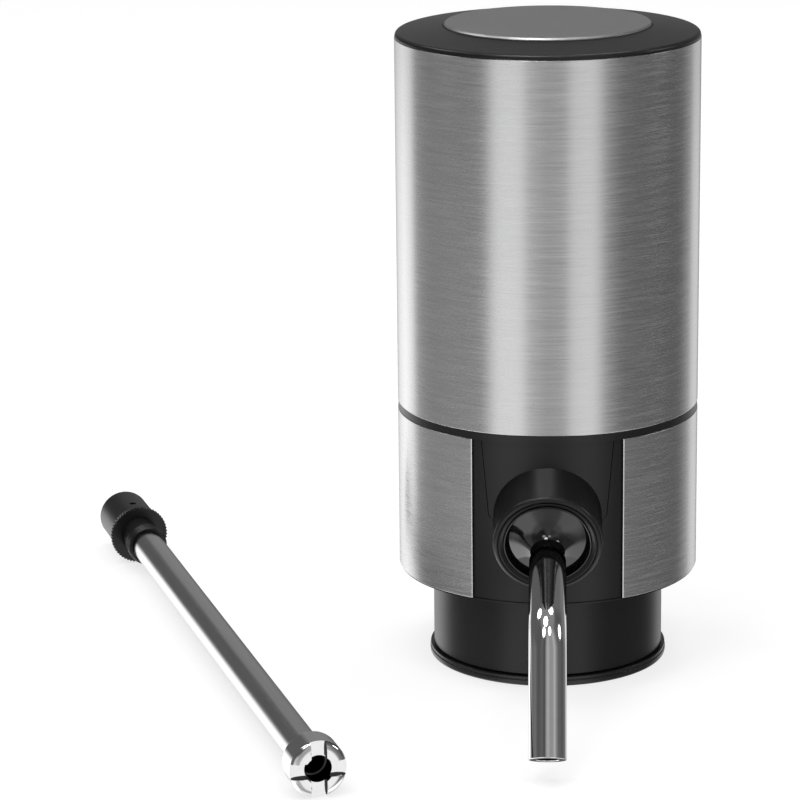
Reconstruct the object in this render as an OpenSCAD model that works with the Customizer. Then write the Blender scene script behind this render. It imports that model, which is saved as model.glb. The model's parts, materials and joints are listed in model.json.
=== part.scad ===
// Electric wine dispenser that stands on its bottle collar, with a loose telescopic dip tube beside it.
// Origin: on the body's axis, in the plane that the rim stands on. +Z is up and the spout points to -Y.

/* [Body] */
// Outside diameter of the steel body
body_d = 71; // [70:0.5:78]
// Height of the upper steel sleeve
sleeve_h = 86.5; // [84:0.1:110]
// Sheet thickness of the upper sleeve
sleeve_wall = 0.6; // [0.4:0.1:1]
// Height of the dark joint between the two steel sheets
joint_h = 1.8; // [1.4:0.1:3]
// Height of the lower steel skirt
skirt_h = 38.3; // [36:0.1:48]
// Sheet thickness of the skirt
skirt_wall = 0.5; // [0.4:0.1:0.8]
// Width of the opening in the front of the skirt
window_w = 34.6; // [33.5:0.1:40]
// Height of the black lip that shows under the skirt
lip_h = 0.35; // [0.2:0.05:1]
// Wall of the moulded lower housing
housing_wall = 1.9; // [1.4:0.1:2.4]
// Floor of the moulded lower housing
floor_t = 3; // [2.5:0.1:4]

/* [Top] */
// Height of the cap's plain side above the sleeve
cap_band = 1.15; // [0.6:0.05:2]
// Rise of the cap's cone from its edge to the button
cap_rise = 1.45; // [0.8:0.05:3]
// Diameter of the metal button disc
disc_d = 47.8; // [40:0.2:52]
// Thickness of the button disc
disc_t = 1.6; // [1.2:0.1:2.2]
// Height of the button disc above the cap
disc_proud = 0.6; // [0.1:0.05:1]
// Travel of the button
button_travel = 0.8; // [0.4:0.1:1.2]

/* [Collar] */
// How far the collar stands in from the steel body
collar_in = 8.15; // [6.5:0.05:9.5]
// Wall of the collar
collar_wall = 1.9; // [1.4:0.1:2.6]
// Height of the collar that shows below the skirt
collar_show = 22.7; // [20:0.1:26]
// How far the rim ring stands out from the collar
rim_out = 0.95; // [0.4:0.05:2]
// Height of the rim ring
rim_h = 2.2; // [1.6:0.1:4]
// Bore of the silicone sleeve that takes the bottle's neck
neck_d = 29.8; // [27:0.1:32]
// Depth from the rim to the collar's ceiling
neck_depth = 17.5; // [16:0.1:19]
// Thickness of the collar's ceiling
ceiling_t = 2.5; // [2:0.1:3]

/* [Spout] */
// Slope of the boss and of the spout's first stretch, in degrees below level
spout_tilt = 15.8; // [12:0.1:20]
// Outside diameter of the boss
boss_d = 25; // [23:0.1:26]
// Distance from the steel's front to the middle of the boss's face
boss_out = 8.7; // [7:0.1:12]
// Height of the middle of the boss's face above the skirt's lower edge
boss_up = 16.9; // [16:0.1:20]
// Diameter of the recess in the boss's face
recess_d = 20.2; // [18:0.1:21]
// Outside diameter of the spout tube
spout_d = 8.4; // [8:0.1:9.6]
// Bore of the spout tube
spout_bore = 4.9; // [3.6:0.1:5.2]
// Distance from the boss's face to the spout's inner end
spout_start = 6.2; // [4:0.1:9]
// Length of the spout before its bend
spout_run = 22.8; // [11:0.1:28]
// Radius of the bend, to the middle of the tube
bend_r = 10.6; // [8:0.1:14]
// Angle of the bend, in degrees
bend_angle = 46.7; // [30:0.1:50]
// Length of the spout after its bend
spout_leg = 24; // [15:0.1:27]
// Length of the stem inside the spout
stem_grip = 7; // [5:0.1:9]

/* [Dip tube] */
// Outside diameter of the dip tube
tube_d = 8; // [7.6:0.1:9]
// Wall of the outer tube
tube_wall = 0.45; // [0.3:0.05:0.5]
// Outside diameter of the telescopic inner tube
inner_d = 6.4; // [6:0.1:6.4]
// Wall of the inner tube
inner_wall = 0.3; // [0.25:0.05:0.6]
// Length of the outer tube that shows
tube_show = 157.7; // [140:0.1:180]
// How far the inner tube pulls out
tube_travel = 110; // [80:1:115]
// Diameter of the plug
plug_d = 12.9; // [12.4:0.1:13.4]
// Length of the plug
plug_len = 17.7; // [15:0.1:18.4]
// Diameter of the knurled flange, over its ridges
flange_d = 14.9; // [14:0.1:16]
// Thickness of the knurled flange
flange_t = 1.2; // [1:0.1:3]
// Ridges round the flange
flange_ridges = 54; // [30:1:70]
// Diameter of the ribbed neck, over its ribs
neck_rib_d = 10; // [9.8:0.1:12]
// Length of the ribbed neck
neck_len = 10.3; // [7:0.1:12]
// Ribs round the neck where the tube leaves it
neck_ribs = 3; // [2:1:5]
// Diameter of the foot
foot_d = 12.8; // [12:0.1:13.6]
// Length of the foot
foot_len = 7.8; // [6:0.1:10]
// Diameter of the hole in the foot
foot_hole_d = 6.2; // [5.2:0.1:6.3]
// Width of the slots across the foot
foot_slot_w = 3.5; // [2:0.1:4]
// Depth of the slots across the foot
foot_slot_h = 1.3; // [1:0.1:2.4]
// Turn of the lying tube away from the spout's direction, in degrees
tube_turn = 19; // [10:0.5:30]
// Sideways place of the plug's end
tube_x = -112.4; // [-140:0.1:-105]
// Place of the plug's end along the spout's direction
tube_y = 84.1; // [70:0.1:100]

/* [Power unit] */
// Diameter of the battery cell
cell_d = 18.4; // [17:0.1:18.6]
// Length of the battery cell
cell_len = 65; // [60:0.5:66]
// Diameter of the pump
pump_d = 27; // [25:0.1:27.4]
// Diameter of the motor
motor_d = 24.4; // [22:0.1:24.6]
// Length of the motor's can
motor_len = 30; // [26:0.5:36]
// Diameter of the motor's shaft
shaft_d = 2; // [1.6:0.1:2.4]
// Throw of the pump's crank pin
crank_throw = 2; // [1.4:0.1:2.2]
// Thickness of the control board
board_t = 1.6; // [1:0.1:2]
// Width of the charging socket
port_w = 9; // [8.4:0.1:9.6]
// Height of the charging socket
port_h = 3.2; // [3:0.1:3.6]

/* [Fits] */
// Gap between pieces that fit together and stay put
fit = 0.1; // [0.05:0.01:0.15]
// Gap round a shaft or sleeve that turns or slides
run = 0.05; // [0.03:0.01:0.09]
// Gap between pieces that pass each other freely
free = 0.3; // [0.2:0.05:0.4]
// Width of the parting line round the spout's tongue
parting = 0.15; // [0.1:0.01:0.3]

/* [Hidden] */
$fn = 96;
eps = 1;
body_r = body_d / 2;
edge = 0.25;
seam = 0.01;
lap = 0.2;

// Heights, from the rim upwards
z_skirt = collar_show;
z_floor = z_skirt - lip_h + floor_t;
z_joint = z_skirt + skirt_h;
z_sleeve = z_joint + joint_h;
z_cap = z_sleeve + sleeve_h;
z_crown = z_cap + cap_band + cap_rise;

// Top and button
sleeve_ri = body_r - sleeve_wall;
cap_r = body_r - fit;
spigot_r = sleeve_ri - fit;
spigot_t = 1.7;
spigot_h = 5;
cap_ceiling = 1;
button_gap = 0.3;
cap_hole_r = disc_d / 2 + button_gap;
disc_top = z_crown + disc_proud;
disc_z = disc_top - disc_t;
carrier_inset = 0.4;
carrier_r = disc_d / 2 - carrier_inset;
carrier_flange_t = 1.2;
carrier_lap = 2;
carrier_top = z_cap - cap_ceiling - fit;
carrier_z = carrier_top - carrier_flange_t;
board_drop = 6.2;
board_top = carrier_z - board_drop;
board_z = board_top - board_t;
switch_w = 6;
switch_h = 3.5;
switch_top = board_top + switch_h;
switch_pin_r = 1.7;
switch_pin_in = 0.6;
spring_r = 8;
spring_wire = 0.9;
spring_turns = 4;

// Chassis and what it carries
base_t = 2;
base_top = z_sleeve + base_t;
deck_spigot_h = 3.5;
base_r = spigot_r - spigot_t - fit;
board_in = 3;
board_r = base_r - board_in;
board_screw_len = 4;
standoff_h = 3;
standoff_r = 2.6;
standoff_in = 4.5;
standoff_ring = board_r - standoff_in;
standoff_angles = [30, 150, 270];
shelf_t = 2;
shelf_top = board_z - standoff_h;
shelf_z = shelf_top - shelf_t;
shelf_r = board_r + 1;
shelf_opening_r = 6;
spine_x = 0.8;
spine_t = 2;
spine_half_w = 16;
cup_wall = 1.5;
cell_r = cell_d / 2;
cup_gap = 0.9;
cell_x = spine_x + spine_t + cup_gap + cup_wall + fit + cell_r;
cell_cup_h = 14;
cell_top = base_top + cell_len;
pump_r = pump_d / 2;
pump_cup_h = 5;
pad_inset = 1;

// Lower housing, its posts and the screws
housing_r = body_r - skirt_wall - run;
housing_ri = housing_r - housing_wall;
post_r = 2.8;
post_sink = 0.3;
post_ring = housing_ri - post_r + post_sink;
pilot_h = 13;
frame_screw_r = 1.25;
frame_screw_len = 14;
small_screw_r = 0.8;
head_ratio = 1.9;
head_h_ratio = 1.2;
slot_ratio = 0.5;

// Collar
collar_d = body_d - 2 * collar_in;
rim_d = collar_d + 2 * rim_out;
collar_flange_in = 2;
collar_flange_t = 2;
collar_flange_r = housing_ri - collar_flange_in;
collar_flange_top = z_floor + collar_flange_t;
collar_screw_ring = (collar_d / 2 + collar_flange_r) / 2;

// Air and wine path
hose_r = 2.2;
hose_bend_r = 8;
nipple_r = 1.5;
nipple_hole_r = 0.8;
socket_bore_r = plug_d / 2 + run;
socket_wall = 3;
socket_r = socket_bore_r + socket_wall;
socket_flange_w = 3.4;
socket_flange_r = socket_r + socket_flange_w;
socket_flange_t = 2;
nipple_len = 4.2;
nipple_end = socket_r + nipple_len;
ceiling_top = neck_depth + ceiling_t;
bore_top = neck_depth + plug_len + fit;
gasket_t = 1.2;
seat_step = 0.6;
roof_t = 1.5;
seat_r = socket_bore_r - seat_step;
seat_top = bore_top + gasket_t;
roof_top = seat_top + roof_t;
air_way_r = 0.7;
air_way_at = (socket_bore_r + socket_r) / 2;
nipple_z = collar_flange_top + hose_r + free;
nozzle_x = -(nipple_end + hose_bend_r);
nozzle_off = 8;
pump_x = nozzle_x + nozzle_off;
hose_hole_r = hose_r + free;
wine_barb_r = 2.25;
wine_hose_wall = 1.2;
wine_hose_ri = wine_barb_r + run;
wine_hose_r = wine_hose_ri + wine_hose_wall;
wine_bend_r = 7;
wine_way_r = 1.6;

// Release valve
valve_h = 18;
valve_hose = 5.4;
valve_gap = 1.95;
valve_x = nipple_end + valve_hose;
valve_w = housing_ri - valve_gap - valve_x;
valve_bore_x = valve_x + valve_w / 2;
valve_top = collar_flange_top + valve_h;
valve_pin_r = 2;
valve_travel = 1;
valve_pin_in = 10;
valve_pin_out = 2.5;

// Pump stack, from the chassis base upwards
cover_h = 7;
diaphragm_h = 2.4;
pump_body_h = 15;
cover_top = base_top + cover_h;
diaphragm_top = cover_top + diaphragm_h;
motor_z = diaphragm_top + pump_body_h;
motor_top = motor_z + motor_len;
motor_r = motor_d / 2;
can_wall = 1;
end_cap_h = 3;
shaft_r = shaft_d / 2;
bush_r = 3.2;
magnet_t = 2;
armature_r = motor_r - can_wall - magnet_t - 3 * free;
armature_end = 5;
crank_r = 4.6;
crank_h = 6;
crank_z = motor_z - free - crank_h;
crank_pin_r = 1;
crank_pin_len = 3.2;
crank_floor = 2;
pump_wall = 3;
pump_cavity_r = pump_r - pump_wall;
wobble_t = 2.4;
wobble_leg = 1.6;
wobble_leg_ring = 6.4;
wobble_leg_r = 1.5;
wobble_r = pump_cavity_r - 2 * free;
wobble_hole_r = crank_throw + crank_pin_r + free;
pump_screw_off = 1.2;
pump_screw_ring = pump_cavity_r + pump_screw_off;
pump_screw_r = 0.75;
pump_screw_in = 5;
pump_pilot = 8;
pump_roof = 2;
pump_head_h = pump_screw_r * head_h_ratio;

// Charging inlet at the back
charge_post_h = 7;
charge_board_z = base_top + charge_post_h;
charge_board_t = 1.2;
charge_board_w = 18;
charge_board_len = 13;
charge_board_y = 17.5;
charge_post_x = 6;
port_z = charge_board_z + charge_board_t + port_h / 2;
port_depth = 8;
bezel_lap = 1.4;
bezel_rim = 1.2;
bezel_back_t = 1.2;
port_inset = 0.9;
port_y = body_r - port_inset - port_depth;

// Spout
boss_r = boss_d / 2;
boss_face_y = -(body_r + boss_out);
boss_face_z = z_skirt + boss_up;
boss_depth = 16;
boss_back_t = 2;
tongue_half_w = 15.2;
tongue_shoulder_w = 13.65;
tongue_shoulder_up = 5.2;
tongue_end_up = 2.7;
tongue_shoulder_z = boss_face_z + tongue_shoulder_up;
tongue_end_z = boss_face_z + tongue_end_up;
tongue_back_t = 1.8;
tongue_back_half_w = 17.6;
tongue_back_drop = 11.5;
axis_run = -boss_face_y / cos(spout_tilt);
wine_corner_z = boss_face_z - boss_face_y * tan(spout_tilt);
wine_turn = 90 + spout_tilt;
wine_tangent = wine_bend_r * tan(wine_turn / 2);
wine_rise_top = wine_corner_z - wine_tangent;
wine_run_end = -axis_run + wine_tangent;
funnel_r = recess_d / 2 - run;
funnel_back = -(boss_depth - boss_back_t);
funnel_lip = 0.5;
funnel_edge = 0.6;
funnel_floor = 8.2;
stem_r = 2.7;
neck_r = 2.95;
tail_r = 4;
tail_len = 5;
tail_end = funnel_back - boss_back_t - tail_len;
barb_len = 7.5;
bush_wall = 0.65;
spout_socket_r = stem_r + bush_wall + 2 * run;

// Dip tube stations, from the plug's end to the face of the foot
s_flange = plug_len;
s_neck = s_flange + flange_t;
s_show = s_neck + neck_len;
s_foot = s_show + tube_show;
s_end = s_foot + fit + foot_len;
tube_r = tube_d / 2;
tube_ri = tube_r - tube_wall;
inner_r = inner_d / 2;
inner_ri = inner_r - inner_wall;
tube_in_plug = 4.5;
bush_len = 6.5;
stop_len = 3;
stop_spare = 10;
foot_socket = 1.5;
foot_crown = 2;
inner_start = s_foot - bush_len - stop_spare - stop_len - tube_travel;
flange_r = flange_d / 2;
foot_r = foot_d / 2;
lie_gap = 0.05;
tube_dip = atan((flange_r - foot_r) / (s_end - foot_slot_h - s_neck));
tube_z = lie_gap + flange_r * cos(tube_dip) + s_neck * sin(tube_dip);

echo(spring_gap = (board_drop - spring_wire) / spring_turns - spring_wire);
echo(spout_clearance = spout_low());

// Height of the spout's lowest point above the table
function spout_low() =
    let (lean = spout_tilt + bend_angle)
    boss_face_z
    - (spout_start + spout_run) * sin(spout_tilt)
    - bend_r * (cos(spout_tilt) - cos(lean))
    - spout_leg * sin(lean)
    - spout_d / 2 * cos(lean);

// Shapes that repeat

module ring(r_out, r_in, z0, z1) {
    translate([0, 0, z0])
        difference() {
            cylinder(r = r_out, h = z1 - z0);
            translate([0, 0, -eps]) cylinder(r = r_in, h = z1 - z0 + 2 * eps);
        }
}

module rod(r, z0, z1) {
    translate([0, 0, z0]) cylinder(r = r, h = z1 - z0);
}

module box(low, high) {
    translate(low) cube(high - low);
}

// Round-ended slot, cut along Y from y0 to y1
module slot_prism(w, h, y0, y1) {
    translate([0, y1, 0])
        rotate([90, 0, 0])
            linear_extrude(y1 - y0) {
                square([w - h, h], center = true);
                for (side = [-1, 1]) translate([side * (w - h) / 2, 0]) circle(d = h);
            }
}

// Cross-head screw whose head sits on z = 0 and whose shank points down
module screw(shank_r, len) {
    head_r = shank_r * head_ratio;
    head_h = shank_r * head_h_ratio;
    slot_w = shank_r * slot_ratio;
    difference() {
        union() {
            rod(head_r, 0, head_h);
            rod(shank_r, -len, 0);
        }
        for (turn = [0, 90])
            rotate(turn) box([-shank_r, -slot_w / 2, head_h / 2], [shank_r, slot_w / 2, head_h + eps]);
    }
}

module at_posts() {
    for (turn = [45 : 90 : 315]) rotate(turn) translate([post_ring, 0, 0]) children();
}

module at_standoffs() {
    for (turn = standoff_angles) rotate(turn) translate([standoff_ring, 0, 0]) children();
}

module at_pump() {
    translate([pump_x, 0, 0]) children();
}

module at_pump_screws() {
    at_pump() for (turn = [60 : 120 : 300]) rotate(turn) translate([pump_screw_ring, 0, 0]) children();
}

module at_collar_screws() {
    for (turn = [90, 210, 330]) rotate(turn) translate([collar_screw_ring, 0, 0]) children();
}

// Local +Z leaves the boss along the spout's axis, with 0 in the boss's face
module on_spout_axis() {
    translate([0, boss_face_y, boss_face_z]) rotate([90 + spout_tilt, 0, 0]) children();
}

// Local +Z runs along the lying dip tube, from the plug's end
module on_dip_tube() {
    translate([tube_x, tube_y, tube_z]) rotate([90 + tube_dip, 0, tube_turn]) children();
}

// Bend of a rod from local +Z towards local -Y, a hair thinner than the straights that lap over its ends
module bend(r, radius, angle) {
    translate([0, -radius, 0])
        rotate([90, 0, 90])
            rotate_extrude(angle = angle) translate([radius, 0]) circle(r = r - seam);
}

// Solid along a straight, a bend towards local -Y and a second straight, from local z0
module bent_rod(r, z0, run_len, radius, angle, leg_len, past) {
    rod(r, z0 - past, z0 + run_len + lap);
    translate([0, 0, z0 + run_len]) bend(r, radius, angle);
    translate([0, radius * (cos(angle) - 1), z0 + run_len + radius * sin(angle)])
        rotate([angle, 0, 0]) rod(r, -lap, leg_len + past);
}

// Upper body

module upper_sleeve() {
    color("silver")
        difference() {
            rotate_extrude()
                polygon([
                    [sleeve_ri, z_sleeve], [body_r - edge, z_sleeve], [body_r, z_sleeve + edge],
                    [body_r, z_cap - edge], [body_r - edge, z_cap], [sleeve_ri, z_cap]
                ]);
            translate([0, 0, port_z])
                slot_prism(port_w + 2 * bezel_rim, port_h + 2 * bezel_rim, 0, body_r + eps);
        }
}

module top_cap() {
    floor_z = z_cap - cap_ceiling;
    wall_ri = spigot_r - spigot_t;
    color("dimgray")
        rotate_extrude()
            polygon([
                [cap_hole_r, floor_z], [wall_ri, floor_z], [wall_ri, z_cap - spigot_h],
                [spigot_r, z_cap - spigot_h], [spigot_r, z_cap], [cap_r, z_cap],
                [cap_r, z_cap + cap_band - edge], [cap_r - edge, z_cap + cap_band], [cap_hole_r, z_crown]
            ]);
}

module button_disc() {
    disc_r = disc_d / 2;
    lip = 0.5;
    color("gray")
        rotate_extrude()
            polygon([
                [0, disc_z], [disc_r, disc_z], [disc_r, disc_top - lip], [disc_r - lip, disc_top],
                [0, disc_top]
            ]);
}

module button_carrier() {
    color([0.16, 0.16, 0.17]) {
        rod(cap_hole_r + carrier_lap, carrier_z, carrier_top);
        rod(carrier_r, carrier_top - eps / 2, disc_z);
    }
}

module button_spring() {
    rings_a_turn = 8;
    sides = 6;
    wire_r = spring_wire / 2;
    steps = spring_turns * rings_a_turn;
    climb = board_drop - spring_wire;
    points = [
        for (i = [0 : steps], k = [0 : sides - 1])
            let (
                turn = 360 * i / rings_a_turn,
                around = 360 * k / sides,
                reach = spring_r + wire_r * cos(around),
                height = board_top + wire_r + climb * i / steps + wire_r * sin(around)
            )
            [reach * cos(turn), reach * sin(turn), height]
    ];
    sides_faces = [
        for (i = [0 : steps - 1], k = [0 : sides - 1], half = [0, 1])
            let (
                a = i * sides + k,
                b = i * sides + (k + 1) % sides,
                c = b + sides,
                d = a + sides
            )
            half == 0 ? [a, b, c] : [a, c, d]
    ];
    start_faces = [for (k = [1 : sides - 2]) [0, k + 1, k]];
    last = steps * sides;
    end_faces = [for (k = [1 : sides - 2]) [last, last + k, last + k + 1]];
    color("lightsteelblue") polyhedron(points, concat(sides_faces, start_faces, end_faces));
}

module tact_switch() {
    half = switch_w / 2;
    color([0.1, 0.1, 0.1])
        difference() {
            box([-half, -half, board_top], [half, half, switch_top]);
            rod(switch_pin_r + run, switch_top - switch_pin_in - button_travel - free, switch_top + eps);
        }
}

module switch_plunger() {
    color("ivory") rod(switch_pin_r, switch_top - switch_pin_in, carrier_z);
}

module control_board() {
    color("darkgreen")
        difference() {
            rod(board_r, board_z, board_top);
            at_standoffs() rod(small_screw_r + run, board_z - eps, board_top + eps);
        }
}

module board_chips() {
    chip_h = 1.2;
    // Low corner and size of each chip, as parts of the board's radius
    chips = [
        [-0.53, -0.47, 0.23, 0.23], [0.47, -0.5, 0.17, 0.2], [-0.4, 0.4, 0.13, 0.27], [0.4, 0.07, 0.2, 0.1]
    ] * board_r;
    color([0.08, 0.08, 0.08])
        for (c = chips)
            box([c[0], c[1], board_top], [c[0] + c[2], c[1] + c[3], board_top + chip_h]);
}

module board_screws() {
    color("silver") at_standoffs() translate([0, 0, board_top]) screw(small_screw_r, board_screw_len);
}

module chassis() {
    color([0.2, 0.2, 0.21])
        difference() {
            union() {
                rod(base_r, z_sleeve, base_top);
                at_pump() ring(pump_r + fit + cup_wall, pump_r + fit, base_top - eps, base_top + pump_cup_h);
                translate([cell_x, 0, 0])
                    ring(cell_r + fit + cup_wall, cell_r + fit, base_top - eps, base_top + cell_cup_h);
                box([spine_x, -spine_half_w, base_top - eps], [spine_x + spine_t, spine_half_w, shelf_z + eps]);
                rod(shelf_r, shelf_z, shelf_top);
                at_standoffs() rod(standoff_r, shelf_top - eps, board_z);
                for (side = [-1, 1])
                    translate([side * charge_post_x, charge_board_y + charge_board_len / 2, 0])
                        rod(standoff_r, base_top - eps, charge_board_z);
            }
            at_pump() rod(pump_r + fit, base_top, base_top + pump_cup_h + eps);
            translate([cell_x, 0, 0]) rod(cell_r + fit, base_top, cell_top + eps);
            translate([nozzle_x, 0, 0]) rod(hose_hole_r, z_sleeve - eps, base_top + eps);
            at_posts() rod(frame_screw_r + fit, z_sleeve - eps, base_top + eps);
            at_standoffs() rod(small_screw_r + run, shelf_top, board_z + eps);
            translate([pump_x, 0, 0]) rod(shelf_opening_r, shelf_z - eps, shelf_top + eps);
        }
}

module battery_cell() {
    tip_r = 4;
    tip_h = 1;
    color("seagreen")
        translate([cell_x, 0, 0]) {
            rod(cell_r, base_top, cell_top - tip_h);
            rod(tip_r, cell_top - tip_h - eps, cell_top);
        }
}

module battery_pad() {
    color([0.25, 0.25, 0.25]) translate([cell_x, 0, 0]) rod(cell_r - pad_inset, cell_top, shelf_z);
}

// Motor and pump

module motor_can() {
    color("lightgray")
        at_pump()
            difference() {
                rod(motor_r, motor_z, motor_top);
                rod(motor_r - can_wall, motor_z + 2 * can_wall, motor_top + eps);
                rod(shaft_r + run, motor_z - eps, motor_top);
            }
}

module motor_end_cap() {
    color([0.9, 0.9, 0.85])
        at_pump()
            difference() {
                union() {
                    rod(motor_r, motor_top, motor_top + end_cap_h);
                    rod(bush_r, motor_top + end_cap_h - eps, motor_top + end_cap_h + can_wall);
                }
                rod(shaft_r + run, motor_top - eps, motor_top + end_cap_h + can_wall + eps);
            }
}

module motor_magnets() {
    gap_half_w = 3;
    out_r = motor_r - can_wall - run;
    color([0.3, 0.3, 0.32])
        at_pump()
            difference() {
                ring(out_r, out_r - magnet_t, motor_z + 2 * can_wall, motor_top - armature_end);
                box([-gap_half_w, -motor_r, motor_z], [gap_half_w, motor_r, motor_top]);
            }
}

module motor_armature() {
    winding_r = armature_r - 1.5;
    winding_out = 2;
    color("peru")
        at_pump()
            difference() {
                union() {
                    rod(armature_r, motor_z + armature_end, motor_top - armature_end - winding_out);
                    rod(winding_r, motor_z + armature_end - winding_out, motor_top - armature_end);
                }
                rod(shaft_r, motor_z, motor_top);
            }
}

module motor_shaft() {
    color("gainsboro") at_pump() rod(shaft_r, crank_z + crank_floor, motor_top + end_cap_h);
}

module pump_crank() {
    color("white")
        at_pump()
            difference() {
                union() {
                    rod(crank_r, crank_z, crank_z + crank_h);
                    translate([crank_throw, 0, 0]) rod(crank_pin_r, crank_z - crank_pin_len, crank_z + eps);
                }
                rod(shaft_r, crank_z + crank_floor, crank_z + crank_h + eps);
            }
}

module wobble_plate() {
    plate_z = diaphragm_top + wobble_leg;
    color("ivory")
        at_pump()
            difference() {
                union() {
                    rod(wobble_r, plate_z, plate_z + wobble_t);
                    for (turn = [0 : 120 : 240])
                        rotate(turn) translate([wobble_leg_ring, 0, 0])
                            rod(wobble_leg_r, diaphragm_top, plate_z + eps);
                }
                rod(wobble_hole_r, plate_z - eps, plate_z + wobble_t + eps);
            }
}

module pump_body() {
    color([0.22, 0.22, 0.24])
        difference() {
            at_pump() rod(pump_r, diaphragm_top, motor_z);
            at_pump() rod(pump_cavity_r, diaphragm_top - eps, motor_z - pump_roof);
            at_pump() rod(crank_r + free, diaphragm_top, motor_z + eps);
            at_pump_screws() rod(pump_screw_r + run, diaphragm_top - eps, diaphragm_top + pump_pilot);
        }
}

module pump_diaphragm() {
    color("darkred")
        difference() {
            at_pump() rod(pump_r, cover_top, diaphragm_top);
            at_pump_screws() rod(pump_screw_r + run, cover_top - eps, diaphragm_top + eps);
        }
}

module pump_cover() {
    nozzle_len = 8;
    color([0.22, 0.22, 0.24])
        difference() {
            union() {
                at_pump() rod(pump_r, base_top, cover_top);
                translate([nozzle_x, 0, 0]) rod(nipple_r, base_top - nozzle_len, base_top + eps);
            }
            translate([nozzle_x, 0, 0]) rod(nipple_hole_r, base_top - nozzle_len - eps, cover_top + eps);
            at_pump_screws() {
                rod(pump_screw_r + run, base_top - eps, cover_top + eps);
                rod(pump_screw_r * head_ratio + run, base_top - eps, base_top + pump_head_h);
            }
        }
}

module pump_screws() {
    color("silver")
        at_pump_screws()
            translate([0, 0, base_top + pump_head_h]) rotate([180, 0, 0])
                screw(pump_screw_r, cover_h + diaphragm_h + pump_screw_in);
}

// Charging inlet

module charge_board() {
    color("darkgreen")
        box([-charge_board_w / 2, charge_board_y, charge_board_z],
            [charge_board_w / 2, charge_board_y + charge_board_len, charge_board_z + charge_board_t]);
}

module usb_socket() {
    shell_t = 0.35;
    tongue_t = 0.7;
    tongue_in = 1;
    color("silver")
        translate([0, 0, port_z]) {
            difference() {
                slot_prism(port_w, port_h, port_y, port_y + port_depth);
                slot_prism(port_w - 2 * shell_t, port_h - 2 * shell_t, port_y + 2, port_y + port_depth + eps);
            }
            box([-port_w / 3, port_y + eps, -tongue_t / 2], [port_w / 3, port_y + port_depth - tongue_in, tongue_t / 2]);
        }
}

module port_bezel() {
    hole_w = port_w + 2 * fit;
    hole_h = port_h + 2 * fit;
    rim_w = port_w + 2 * bezel_rim - 2 * fit;
    rim_h_out = port_h + 2 * bezel_rim - 2 * fit;
    back_r = sleeve_ri - fit;
    color([0.12, 0.12, 0.12])
        difference() {
            union() {
                intersection() {
                    ring(body_r - edge / 2, back_r - bezel_back_t, port_z - port_w, port_z + port_w);
                    translate([0, 0, port_z]) slot_prism(rim_w, rim_h_out, 0, body_r + eps);
                }
                intersection() {
                    ring(back_r, back_r - bezel_back_t, port_z - port_w, port_z + port_w);
                    translate([0, 0, port_z])
                        slot_prism(rim_w + 2 * bezel_lap, rim_h_out + 2 * bezel_lap, 0, body_r + eps);
                }
            }
            translate([0, 0, port_z]) slot_prism(hole_w, hole_h, 0, body_r + 2 * eps);
            box([-charge_board_w, 0, charge_board_z - fit],
                [charge_board_w, charge_board_y + charge_board_len + fit, charge_board_z + charge_board_t + fit]);
        }
}

// Middle deck and lower body

module deck_plate() {
    color([0.1, 0.1, 0.1])
        difference() {
            union() {
                rod(cap_r, z_joint, z_sleeve);
                ring(spigot_r, spigot_r - spigot_t, z_sleeve - eps / 2, z_sleeve + deck_spigot_h);
            }
            translate([nozzle_x, 0, 0]) rod(hose_hole_r, z_joint - eps, z_sleeve + eps);
            at_posts() rod(frame_screw_r + fit, z_joint - eps, z_sleeve + eps);
        }
}

module frame_screws() {
    color("silver") at_posts() translate([0, 0, base_top]) screw(frame_screw_r, frame_screw_len);
}

// Outline of the tongue in the front panel, grown by a margin, cut along Y:
// straight sides that curve in to the boss at their lower ends
module tongue_prism(margin) {
    curve_steps = 6;
    shoulder = [tongue_shoulder_w, tongue_shoulder_z];
    corner = [tongue_shoulder_w, tongue_end_z];
    hip = [boss_r, tongue_end_z];
    curve = [
        for (i = [0 : curve_steps])
            let (t = i / curve_steps)
            (1 - t) * (1 - t) * shoulder + 2 * t * (1 - t) * corner + t * t * hip
    ];
    side = concat([[tongue_half_w, z_joint + eps]], curve);
    last = len(side) - 1;
    right = [for (p = side) [p.x + margin, p.y]];
    left = [for (i = [last : -1 : 0]) [-side[i].x - margin, side[i].y]];
    rotate([90, 0, 0]) linear_extrude(body_d) polygon(concat(right, left));
}

module lower_housing() {
    pilot_r = frame_screw_r + run;
    color([0.13, 0.13, 0.14])
        difference() {
            union() {
                rotate_extrude()
                    polygon([
                        [collar_d / 2 + fit, z_skirt - lip_h], [body_r - edge, z_skirt - lip_h],
                        [body_r - edge, z_skirt], [housing_r, z_skirt], [housing_r, z_joint],
                        [housing_ri, z_joint], [housing_ri, z_floor], [collar_d / 2 + fit, z_floor]
                    ]);
                at_posts() rod(post_r, z_floor - eps, z_joint - fit);
            }
            at_posts() rod(pilot_r, z_joint - pilot_h, z_joint + eps);
            at_collar_screws() rod(small_screw_r + run, z_skirt, z_floor + eps);
            tongue_prism(parting);
            on_spout_axis() rod(boss_r + parting, -2 * boss_depth, boss_depth);
        }
}

module skirt_wrap() {
    color("silver")
        difference() {
            ring(body_r, body_r - skirt_wall, z_skirt, z_joint);
            box([-window_w / 2, -body_d, 0], [window_w / 2, 0, z_cap]);
        }
}

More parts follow.
